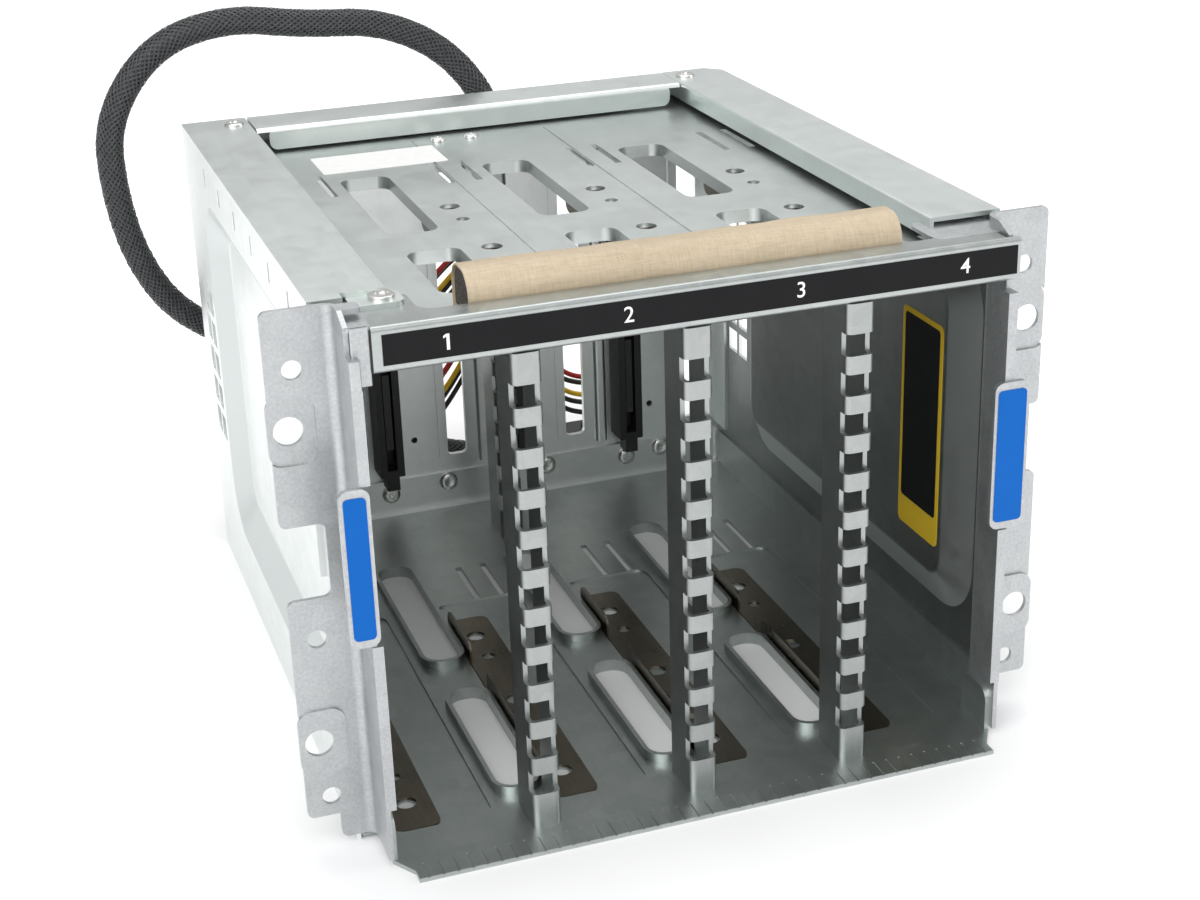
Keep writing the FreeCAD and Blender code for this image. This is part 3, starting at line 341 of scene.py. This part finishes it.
def finishes():
    made = {
        "galvanised_sheet": zincSheet("zincSheet", (0.33, 0.36, 0.355), (0.60, 0.635, 0.62)),
        # side panels: lighter outer tones are painted light, darker tones on faces turned to the bays
        # are painted shade
        "panel_sheet": zincSheet("panelSheetPaintedShading", (0.62, 0.655, 0.645), (0.9, 0.94, 0.925), 0.3,
                                 inwardPaintedShading=((0.20, 0.215, 0.21), (0.42, 0.445, 0.435)),
                                 outerSlopePaintedShade=(0.52, 0.56, 0.55)),
        # rails: the same zinc in lighter tones, painted light
        "rail_sheet": zincSheet("railSheetPaintedLight", (0.71, 0.76, 0.74), (0.83, 0.88, 0.86)),
        # columns: the same zinc in darker tones, painted shade of the bays
        "column_sheet": zincSheet("columnSheetPaintedShade", (0.28, 0.30, 0.295), (0.52, 0.545, 0.535)),
        # rear wall: faces turned to the bays in lighter tones, painted light
        "wall_sheet": zincSheet("wallSheetPaintedLight", (0.50, 0.535, 0.525), (0.74, 0.78, 0.765), 0.3,
                                inwardPaintedShading=((0.76, 0.79, 0.78), (0.95, 0.97, 0.96)),
                                outerSlopePaintedShade=(0.5, 0.535, 0.525), axis=1),
        "tray_sheet": zincSheet("traySheetPaintedLight", (0.33, 0.36, 0.35), (0.60, 0.64, 0.62), 0.3, band=trayFlangePaintedLight),
        # lid: the same zinc in lighter tones, painted light, and darker towards the rear, painted shade
        "lid_sheet": zincSheet("lidSheetPaintedShading", (0.61, 0.655, 0.64), (0.76, 0.805, 0.785), 0.3, band=lidRearPaintedShade),
        "ear_sheet": zincSheet("earSheet", (0.38, 0.395, 0.405), (0.66, 0.675, 0.68), 0.4, speckle=1.1),
        "spring_steel": springSteel(),
        "screw_steel": brightSteel(),
        "blue_label": printedFilm("blueFilm", (0.0, 0.10, 0.41), 0.5),
        "black_label": printedFilm("blackFilm", (0.006, 0.006, 0.007), 0.5),
        "black_plastic": mouldedPlastic("blackPlastic", (0.012, 0.012, 0.013), 0.4),
        "tongue_plastic": mouldedPlastic("tonguePlastic", (0.02, 0.02, 0.021), 0.3),
        "clamp_plastic": mouldedPlastic("clampPlastic", (0.02, 0.02, 0.02), 0.45),
        "foam": foamCore(),
        "conductive_fabric": conductiveCloth(),
        "braided_sleeve": braid(),
        "wire_red": mouldedPlastic("redWire", (0.42, 0.012, 0.01), 0.35),
        "wire_yellow": mouldedPlastic("yellowWire", (0.72, 0.46, 0.01), 0.35),
        "wire_black": mouldedPlastic("blackWire", (0.01, 0.01, 0.01), 0.35),
        "white_film": printedFilm("whiteFilm", (0.78, 0.78, 0.77)),
        "yellow_film": printedFilm("yellowFilm", (0.74, 0.50, 0.03)),
        "label_paper": labelPaper(),
    }
    print("finishes made:", len(made))
    return made


ownFinish = {
    "left_side_panel": "panel_sheet", "right_side_panel": "panel_sheet", "left_top_rail": "rail_sheet",
    "right_top_rail": "rail_sheet", "rear_top_rail": "rail_sheet", "top_panel": "lid_sheet",
    "left_front_bracket": "ear_sheet", "right_front_bracket": "ear_sheet", "rear_panel": "wall_sheet",
    "base_tray": "tray_sheet", "divider_column_1": "column_sheet", "divider_column_2": "column_sheet",
    "divider_column_3": "column_sheet", "rear_centre_post": "column_sheet",
}


def dressFrame(made):
    for part in frame["record"]["subparts"]:
        node = part["node"]
        for place in bpy.data.objects[node].material_slots:
            place.material = made[ownFinish.get(node, part["material_slot"])]


# modelling helpers
def block(name, low, high):
    bpy.ops.object.select_all(action="DESELECT")
    bpy.ops.mesh.primitive_cube_add(size=1)
    piece = bpy.context.object
    piece.name = name
    piece.data.name = name
    bpy.ops.object.mode_set(mode="EDIT")
    bpy.ops.transform.resize(value=[high[i] - low[i] for i in range(3)])
    bpy.ops.transform.translate(value=[(high[i] + low[i]) / 2 for i in range(3)])
    return piece


def pickEdges(piece, test):
    edit = bmesh.from_edit_mesh(piece.data)
    bpy.ops.mesh.select_all(action="DESELECT")
    bpy.ops.mesh.select_mode(type="EDGE")
    for edge in edit.edges:
        first, second = (point.co for point in edge.verts)
        if test((first + second) / 2, (second - first).normalized()):
            edge.select_set(True)
    bmesh.update_edit_mesh(piece.data)


def pickFaces(piece, test):
    edit = bmesh.from_edit_mesh(piece.data)
    bpy.ops.mesh.select_all(action="DESELECT")
    bpy.ops.mesh.select_mode(type="FACE")
    for face in edit.faces:
        if test(face.calc_center_median(), face.normal):
            face.select_set(True)
    bmesh.update_edit_mesh(piece.data)


def finishPiece(piece, material, slotName, *replaced):
    if bpy.context.object and bpy.context.object.mode == "EDIT":
        bpy.ops.object.mode_set(mode="OBJECT")
    piece.data.materials.clear()
    piece.data.materials.append(material)
    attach(piece, "root")
    if replaced:
        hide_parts(*replaced)


def applied(piece, kind, **settings):
    bpy.context.view_layer.objects.active = piece
    added = piece.modifiers.new(kind.lower(), kind)
    for key, value in settings.items():
        setattr(added, key, value)
    bpy.ops.object.modifier_apply(modifier=added.name)


plateSegments = 5


def roundedPlate(name, low, high, axis, radius, material, slotName):
    piece = block(name, low, high)
    pickEdges(piece, lambda middle, along: abs(along[axis]) > 0.9)
    bpy.ops.mesh.bevel(offset=radius, segments=plateSegments, affect="EDGES")
    finishPiece(piece, material, slotName)
    return piece


# harness
harness = {
    "route": [
        (13, 177, 92), (12.5, 177, 108), (1.6, 180, 127), (-17, 181, 137.4), (-38, 181, 138.4),
        (-58, 182, 141.8), (-78, 182, 136.4), (-91.4, 182, 118.5), (-91.6, 183, 99),
        (-87.5, 185.5, 79), (-78, 189, 62), (-60, 192, 50), (-42, 192.5, 36), (-26, 192.5, 20),
        (-8, 192.5, 7.5), (12, 191, 4), (30, 191, 4),
    ],
    "diameter": 7.4, "core": 6.3, "strandsEachWay": 16, "pitch": 27.0, "strandWidth": 0.62,
    "lift": 0.17, "step": 0.75, "coreSides": 24, "length": 0.33,
}
curve = {"order": 3, "resolution": 24}


def routeLine(places):
    route = bpy.data.curves.new("route", "CURVE")
    route.dimensions = "3D"
    spline = route.splines.new("NURBS")
    spline.points.add(len(places) - 1)
    for point, place in zip(spline.points, places):
        point.co = (*(part * mm for part in place), 1.0)
    spline.order_u = curve["order"]
    spline.use_endpoint_u = True
    spline.resolution_u = curve["resolution"]
    guide = bpy.data.objects.new("route", route)
    line = bpy.data.meshes.new_from_object(guide)
    points = [vertex.co.copy() for vertex in line.vertices]
    bpy.data.objects.remove(guide)
    bpy.data.meshes.remove(line)
    return points


def evenLine(points, step):
    reached = [0.0]
    for first, second in zip(points, points[1:]):
        reached.append(reached[-1] + (second - first).length)
    count = max(2, round(reached[-1] / step))
    even = []
    part = 0
    for number in range(count + 1):
        target = reached[-1] * number / count
        while part < len(points) - 2 and reached[part + 1] < target:
            part += 1
        share = (target - reached[part]) / max(reached[part + 1] - reached[part], hair * mm)
        even.append(points[part].lerp(points[part + 1], share))
    return even, reached[-1]


def lineAxes(points):
    axes = []
    side = None
    for number in range(len(points)):
        following, before = points[min(number + 1, len(points) - 1)], points[max(number - 1, 0)]
        ahead = (following - before).normalized()
        if side is None:
            side = ahead.orthogonal().normalized()
        side = (side - ahead * side.dot(ahead)).normalized()
        axes.append((side, ahead.cross(side)))
    return axes


def ringPoint(points, axes, number, radius, angle):
    side, up = axes[number]
    return points[number] + (side * math.cos(angle) + up * math.sin(angle)) * radius


def tubeInto(mesh, points, radius, sides):
    axes = lineAxes(points)
    rows = [[mesh.verts.new(ringPoint(points, axes, number, radius, 2 * math.pi * k / sides))
             for k in range(sides)] for number in range(len(points))]
    for first, second in zip(rows, rows[1:]):
        for k in range(sides):
            mesh.faces.new((first[k], first[(k + 1) % sides], second[(k + 1) % sides], second[k]))
    mesh.faces.new(list(reversed(rows[0])))
    mesh.faces.new(rows[-1])


def meshPiece(name, mesh):
    data = bpy.data.meshes.new(name)
    mesh.to_mesh(data)
    mesh.free()
    piece = bpy.data.objects.new(name, data)
    bpy.context.collection.objects.link(piece)
    for face in data.polygons:
        face.use_smooth = True
    return piece


def braidInto(mesh, points, length):
    axes = lineAxes(points)
    count, pitch = harness["strandsEachWay"], harness["pitch"] * mm
    lift = harness["lift"] * mm
    middle = harness["diameter"] / 2 * mm - 2 * lift
    half = harness["strandWidth"] * mm / 2 / middle
    strip = ((-half, 0), (-half / 3, lift), (half / 3, lift), (half, 0))
    for way in (1, -1):
        for strand in range(count):
            last = None
            for number in range(len(points)):
                along = length * number / (len(points) - 1)
                angle = 2 * math.pi * (strand / count + way * along / pitch)
                wave = way * math.cos(2 * math.pi * along * count / pitch + math.pi * strand)
                radius = middle + lift * wave
                row = [mesh.verts.new(ringPoint(points, axes, number, radius + extra, angle + offset))
                       for offset, extra in strip]
                if last:
                    for k in range(len(strip) - 1):
                        mesh.faces.new((last[k], last[k + 1], row[k + 1], row[k]))
                last = row


def harnessPiece(made):
    points, length = evenLine(routeLine(harness["route"]), harness["step"] * mm)
    bundle = bmesh.new()
    tubeInto(bundle, points, harness["core"] / 2 * mm, harness["coreSides"])
    core = meshPiece("wireBundle", bundle)
    finishPiece(core, made["wire_black"], "braided_sleeve")
    mesh = bmesh.new()
    braidInto(mesh, points, length)
    piece = meshPiece("sleevedHarness", mesh)
    finishPiece(piece, made["braided_sleeve"], "braided_sleeve", "harness_sleeve")
    print("harness laid, length", round(length, 4))


# dark discs behind the pin holes, painted shade: they darken the holes where the real ones show only
# shade
pinHoleShadeDiscs = {
    "radius": 1.3, "thick": 0.3, "wall": 170.0, "sides": 32, "height": 21.8,
    "across": (-54.58, -19.24, 16.1, 51.44),
}


def pinPieces(made):
    stops = bmesh.new()
    for across in pinHoleShadeDiscs["across"]:
        spot = Vector((across, pinHoleShadeDiscs["wall"] + pinHoleShadeDiscs["thick"] / 2, pinHoleShadeDiscs["height"])) * mm
        radius = pinHoleShadeDiscs["radius"] * mm
        bmesh.ops.create_cone(stops, cap_ends=True, segments=pinHoleShadeDiscs["sides"], radius1=radius,
                              radius2=radius, depth=pinHoleShadeDiscs["thick"] * mm,
                              matrix=Matrix.Translation(spot) @ Matrix.Rotation(math.pi / 2, 4, "X"))
    finishPiece(meshPiece("pinHoleShadeDiscs", stops), made["clamp_plastic"], "black_plastic")
    print("pin stops made:", len(pinHoleShadeDiscs["across"]))


# connector leads, from each connector's back to the clamp
leads = {
    "thick": 1.5, "sides": 10, "step": 1.4, "back": 174.0,
    "colours": {
        "redLeads": {"node": "red_wires", "slot": "wire_red", "starts": (31,), "bow": 0.4,
                     "aside": -1.6},
        "yellowLeads": {"node": "yellow_wires", "slot": "wire_yellow", "starts": (25,), "bow": 1.6,
                        "aside": 0.0},
        "blackLeads": {"node": "black_wires", "slot": "wire_black", "starts": (19, 22, 28),
                       "bow": 2.8, "aside": 1.6},
    },
    # from the connector: how far along, how far back and how high over the start
    "runs": {
        -63.1: [(0, 0, 0), (0.5, 4, 0), (7, 7.5, -5), (16, 8, -3), (27, 8.5, 5), (45, 9, 22),
                (64, 8, 42)],
        -27.7: [(0, 0, 0), (0.5, 4, 0), (5, 7.5, -5), (14, 9, -3), (22, 9, 4), (31, 8, 18),
                (37, 7, 36)],
        7.6: [(0, 0, 0), (0, 4, 0), (-3, 8, 4), (-3, 9, 15), (1, 8, 30)],
        42.7: [(0, 0, 0), (-0.5, 4, 0), (-5, 7.5, -4), (-14, 9, -1), (-22, 9, 12), (-27, 7, 32)],
    },
    "bowFrom": 5, "lastDrop": 7, "end": (13.0, 177.0, 84.0), "spread": 1.5, "beside": 0.7,
}


def leadRoute(colour, number, across, run, extra, start):
    endX, endY, endZ = leads["end"]
    endX += (number - (len(leads["runs"]) - 1) / 2) * leads["spread"] + extra * leads["beside"]
    endY += colour["aside"] - extra * leads["beside"]
    bow = colour["bow"] + extra * leads["beside"]
    route = [(across + along, leads["back"] + back + (bow if back > leads["bowFrom"] else 0),
              start + high) for along, back, high in run]
    return route + [(endX, endY, endZ - leads["lastDrop"]), (endX, endY, endZ)]


def leadPieces(made):
    for name, colour in leads["colours"].items():
        mesh = bmesh.new()
        for number, (across, run) in enumerate(leads["runs"].items()):
            for extra, start in enumerate(colour["starts"]):
                route = leadRoute(colour, number, across, run, extra, start)
                points = evenLine(routeLine(route), leads["step"] * mm)[0]
                tubeInto(mesh, points, leads["thick"] / 2 * mm, leads["sides"])
        finishPiece(meshPiece(name, mesh), made[colour["slot"]], colour["slot"], colour["node"])
    print("leads laid:", len(leads["colours"]))


# small plates that close the bar's two upper corners
cornerPlates = {
    "cornerHem": {"low": (-70.0, -2.0, 104.9), "high": (-67.8, 1.4, 110.8), "round": 0.4},
    "cornerPlate": {"low": (-69.0, 0.3, 104.9), "high": (-65.3, 1.2, 116.4), "round": 0.4},
    "cornerTop": {"low": (-69.6, 0.9, 115.6), "high": (-64.8, 12.5, 116.4), "round": 0.4},
    "barTab": {"low": (54.5, 5.0, 115.5), "high": (71.0, 18.5, 116.25), "round": 3.0},
}


def closeCorners(made):
    for name, plate in cornerPlates.items():
        low, high = ([part * mm for part in plate[end]] for end in ("low", "high"))
        roundedPlate(name, low, high, 2, plate["round"] * mm, made["ear_sheet"], "galvanised_sheet")
    print("corners closed")


# number strip
digits = {
    "places": (-50.5, -14.4, 21.9, 58.4), "size": 4.6, "bold": 0.01, "proud": 0.04,
    "stem": 0.6, "tall": 3.2, "flag": 0.6, "flagTall": 0.5, "flagFall": 0.35,
}


def digitOne(made, middle, face):
    left = (digits["places"][0] - digits["stem"] / 2) * mm
    low, high = middle - digits["tall"] / 2 * mm, middle + digits["tall"] / 2 * mm
    front = face - digits["proud"] * mm
    flag = block("digitFlag", (left - digits["flag"] * mm, front, high - digits["flagTall"] * mm),
                 (left + overlap, face, high))
    pickEdges(flag, lambda centre, along: centre.x < left - digits["flag"] * mm + hair)
    bpy.ops.transform.translate(value=(0, 0, -digits["flagFall"] * mm))
    bpy.ops.object.mode_set(mode="OBJECT")
    stem = block("bayDigit1", (left, front, low), (left + digits["stem"] * mm, face, high))
    bpy.ops.object.mode_set(mode="OBJECT")
    flag.select_set(True)
    bpy.ops.object.join()
    finishPiece(stem, made["white_film"], "black_label")


def numberDigits(made):
    low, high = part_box("bay_number_strip")
    middle = (low[2] + high[2]) / 2
    digitOne(made, middle, low[1])
    for number, place in enumerate(digits["places"][1:], 2):
        bpy.ops.object.select_all(action="DESELECT")
        bpy.ops.object.text_add(rotation=(math.pi / 2, 0, 0))
        digit = bpy.context.object
        digit.name = f"bayDigit{number}"
        digit.data.body = str(number)
        digit.data.size = digits["size"] * mm
        digit.data.offset = digits["bold"] * mm
        digit.data.extrude = digits["proud"] * mm / 2
        digit.data.align_x = "CENTER"
        digit.data.align_y = "CENTER"
        digit.location = (place * mm, low[1] - digits["proud"] * mm / 2, middle)
        bpy.ops.object.convert(target="MESH")
        bpy.ops.object.transform_apply(location=True, rotation=True, scale=True)
        finishPiece(digit, made["white_film"], "black_label")
    print("digits placed")


# labels
notice = {
    "front": 26.9, "rear": 46.0, "low": 34.2, "high": 88.2, "thick": 0.12, "corner": 1.6,
    "border": 1.3, "band": 7.0, "wall": 69.0,
}
paperLabel = {"left": -46.4, "right": -15.0, "front": 128.0, "rear": 144.5, "thick": 0.1, "corner": 0.6}


def wallNotice(made):
    wall = notice["wall"] * mm
    thick = notice["thick"] * mm
    corner = notice["corner"] * mm
    low = (wall - thick, notice["front"] * mm, notice["low"] * mm)
    high = (wall, notice["rear"] * mm, notice["high"] * mm)
    roundedPlate("noticeYellow", low, high, 0, corner, made["yellow_film"], "black_label")
    border = notice["border"] * mm
    low = (wall - 1.5 * thick, low[1] + border, low[2] + notice["band"] * mm)
    high = (wall - thick, high[1] - border, high[2] - border)
    roundedPlate("noticeBlack", low, high, 0, corner - border / 2, made["black_label"], "black_label")
    print("notice placed, bare")


def lidLabel(made):
    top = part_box("gasket_fabric")[0][2]
    place = paperLabel
    roundedPlate("lidLabel", (place["left"] * mm, place["front"] * mm, top),
                 (place["right"] * mm, place["rear"] * mm, top + place["thick"] * mm), 2,
                 place["corner"] * mm, made["label_paper"], "black_label")
    print("lid label placed, bare")


# screw and rivet heads
heads = {
    "traySetScrews": {
        "node": "rear_flange_screws", "turn": 90, "radius": 2.6, "height": 1.4, "round": 1.2,
        "socket": 0.35,
        "spots": [(-62.59, 167.3, 7.0), (-27.25, 167.3, 7.0), (8.09, 167.3, 7.0),
                  (43.45, 167.3, 7.0)],
    },
    "trayStuds": {
        "node": None, "turn": 90, "radius": 2.7, "height": 1.2, "round": 1.1, "socket": 0.05,
        "spots": [(-45.5, 167.4, 8.2), (-10.4, 167.4, 8.2), (19.0, 167.4, 8.2),
                  (54.1, 167.4, 8.2)],
    },
    "tabScrew": {
        "node": "tab_screw", "turn": 0, "radius": 2.7, "height": 0.8, "round": 0.35, "socket": 0.3,
        "spots": [(-59.5, 14.2, 117.6)],
    },
    "railScrews": {
        "node": "rail_screws", "turn": 0, "radius": 2.6, "height": 0.8, "round": 0.6, "socket": 0.3,
        "spots": [(-61.6, 162.5, 118.6), (61.6, 162.5, 118.6)],
    },
    "lidRivets": {
        "node": "lid_rivets", "turn": 0, "radius": 1.9, "height": 1.0, "round": 0.8, "socket": 0.1,
        "spots": [(-12.37, 148.1, 112.3), (-3.53, 148.1, 112.3)],
    },
}


headForm = {"sides": 48, "segments": 6, "rim": 0.3, "socketWall": 0.08, "smooth": 35}


def headPiece(name, head, made):
    shaped = []
    for spot in head["spots"]:
        bpy.ops.object.select_all(action="DESELECT")
        bpy.ops.mesh.primitive_cylinder_add(vertices=headForm["sides"], radius=head["radius"] * mm,
                                            depth=head["height"] * mm)
        piece = bpy.context.object
        bpy.ops.object.mode_set(mode="EDIT")
        top = head["height"] * mm / 2 - hair
        pickEdges(piece, lambda middle, along: middle.z > top)
        bpy.ops.mesh.bevel(offset=head["round"] * mm, segments=headForm["segments"], affect="EDGES")
        pickFaces(piece, lambda centre, normal: centre.z > top)
        bpy.ops.mesh.inset(thickness=(head["radius"] - head["round"]) * headForm["rim"] * mm)
        bpy.ops.mesh.inset(thickness=headForm["socketWall"] * mm, depth=-head["socket"] * mm)
        bpy.ops.object.mode_set(mode="OBJECT")
        piece.rotation_euler.x = math.radians(head["turn"])
        piece.location = [part * mm for part in spot]
        shaped.append(piece)
    for piece in shaped:
        piece.select_set(True)
    if len(shaped) > 1:
        bpy.ops.object.join()
    piece = bpy.context.object
    piece.name = name
    bpy.ops.object.transform_apply(location=True, rotation=True, scale=True)
    bpy.ops.object.shade_smooth_by_angle(angle=math.radians(headForm["smooth"]))
    finishPiece(piece, made["screw_steel"], "screw_steel", *([head["node"]] if head["node"] else []))


def headPieces(made):
    for name, head in heads.items():
        headPiece(name, head, made)
    print("heads made:", len(heads))


# gasket
gasket = {
    "frontRound": 5.2, "rearRound": 4.4, "cloth": 0.4, "cuts": 70, "ripple": 0.5, "rippleSize": 9.0,
    "rippleLevel": 0.75, "foamBack": 0.4, "segments": 8, "smooth": 50,
}


def gasketForm(name, low, high, frontRound, rearRound, openEnds):
    piece = block(name, low, high)
    if openEnds:
        pickFaces(piece, lambda centre, normal: abs(normal.x) > 0.9)
        bpy.ops.mesh.delete(type="FACE")
    top = high[2] - overlap
    for level, radius in ((low[1], frontRound), (high[1], rearRound)):
        pickEdges(piece, lambda middle, along: abs(along.x) > 0.9 and middle.z > top
                  and abs(middle.y - level) < overlap)
        bpy.ops.mesh.bevel(offset=radius * mm, segments=gasket["segments"], affect="EDGES")
    pickEdges(piece, lambda middle, along: abs(along.x) > 0.9)
    bpy.ops.mesh.subdivide(number_cuts=gasket["cuts"])
    bpy.ops.object.mode_set(mode="OBJECT")
    return piece


def gasketPieces(made):
    low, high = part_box("gasket_fabric")
    wrap = gasketForm("gasketCloth", low, high, gasket["frontRound"], gasket["rearRound"], True)
    clouds = bpy.data.textures.new("gasketRipple", "CLOUDS")
    clouds.noise_scale = gasket["rippleSize"] * mm
    bpy.ops.object.select_all(action="DESELECT")
    wrap.select_set(True)
    applied(wrap, "DISPLACE", texture=clouds, strength=gasket["ripple"] * mm,
            mid_level=gasket["rippleLevel"], texture_coords="LOCAL")
    applied(wrap, "SOLIDIFY", thickness=gasket["cloth"] * mm, offset=-1.0)
    bpy.ops.object.shade_smooth_by_angle(angle=math.radians(gasket["smooth"]))
    finishPiece(wrap, made["conductive_fabric"], "conductive_fabric", "gasket_fabric")
    skin = (gasket["cloth"] + gasket["ripple"]) * mm
    inset = Vector((gasket["foamBack"] * mm, skin, skin))
    foam = gasketForm("gasketFoam", Vector(low) + inset, Vector(high) - inset,
                      gasket["frontRound"] - gasket["cloth"], gasket["rearRound"] - gasket["cloth"],
                      False)
    finishPiece(foam, made["foam"], "foam", "gasket_foam")
    print("gasket made")


# room and light
room = {
    "cageHalf": 0.075, "cageMiddle": 0.085, "paintedShadowFade": 0.12, "floor": 6.0, "rough": 0.75, "paintedGlow": 0.3,
    "tone": (0.84, 0.84, 0.845), "dark": (0.0, 0.0, 0.0), "lit": (1.0, 1.0, 1.0), "sky": 0.55,
    "sun": 1.35, "sunSpread": 55.0, "sunTurn": (38.0, -22.0, 0.0), "lampsAim": (0, 0.08, 0.06),
}
softboxes = [
    {"place": (-0.75, -0.55, 0.75), "size": 0.8, "power": 5.0},
    {"place": (0.9, -0.2, 0.6), "size": 0.6, "power": 2.5},
    {"place": (0.1, 0.5, 1.1), "size": 0.9, "power": 5.0},
]


def setRoom():
    bpy.ops.object.select_all(action="DESELECT")
    bpy.ops.mesh.primitive_plane_add(size=room["floor"])
    floor = bpy.context.object
    floor.name = "studioFloor"
    paint = Finish("studioFloor")
    x, y = paint.axes()[:2]
    sideways = x.maths("ABSOLUTE") - room["cageHalf"]
    lengthways = (y - room["cageMiddle"]).maths("ABSOLUTE") - room["cageMiddle"]
    # painted shadow: the floor's glow fades out towards the cage's footprint and is gone under it, so
    # the floor is darker where the cage shades it; away from the cage the glow keeps the backdrop evenly
    # white
    clear = (sideways.maths("MAXIMUM", lengthways) / room["paintedShadowFade"]).clipped()
    floor.data.materials.append(paint.dress(
        Base_Color=room["tone"], Roughness=room["rough"],
        Emission_Color=paint.mix(clear, room["dark"], room["lit"]), Emission_Strength=room["paintedGlow"]))
    sky = bpy.data.worlds.new("studio")
    sky.use_nodes = True
    back = sky.node_tree.nodes["Background"]
    back.inputs["Color"].default_value = (*room["lit"], 1.0)
    back.inputs["Strength"].default_value = room["sky"]
    bpy.context.scene.world = sky
    bpy.ops.object.light_add(type="SUN", rotation=[math.radians(part) for part in room["sunTurn"]])
    sun = bpy.context.object.data
    sun.energy = room["sun"]
    sun.angle = math.radians(room["sunSpread"])
    target = Vector(room["lampsAim"])
    for box in softboxes:
        bpy.ops.object.light_add(type="AREA", location=box["place"])
        lamp = bpy.context.object
        lamp.data.size = box["size"]
        lamp.data.energy = box["power"]
        lamp.rotation_euler = (target - Vector(box["place"])).to_track_quat("-Z", "Y").to_euler()
    bpy.context.scene.view_settings.view_transform = "Standard"
    print("room lit")


setCamera()
made = finishes()
harnessPiece(made)
leadPieces(made)
pinPieces(made)
closeCorners(made)
setRoom()
dressFrame(made)
numberDigits(made)
wallNotice(made)
lidLabel(made)
gasketPieces(made)
headPieces(made)
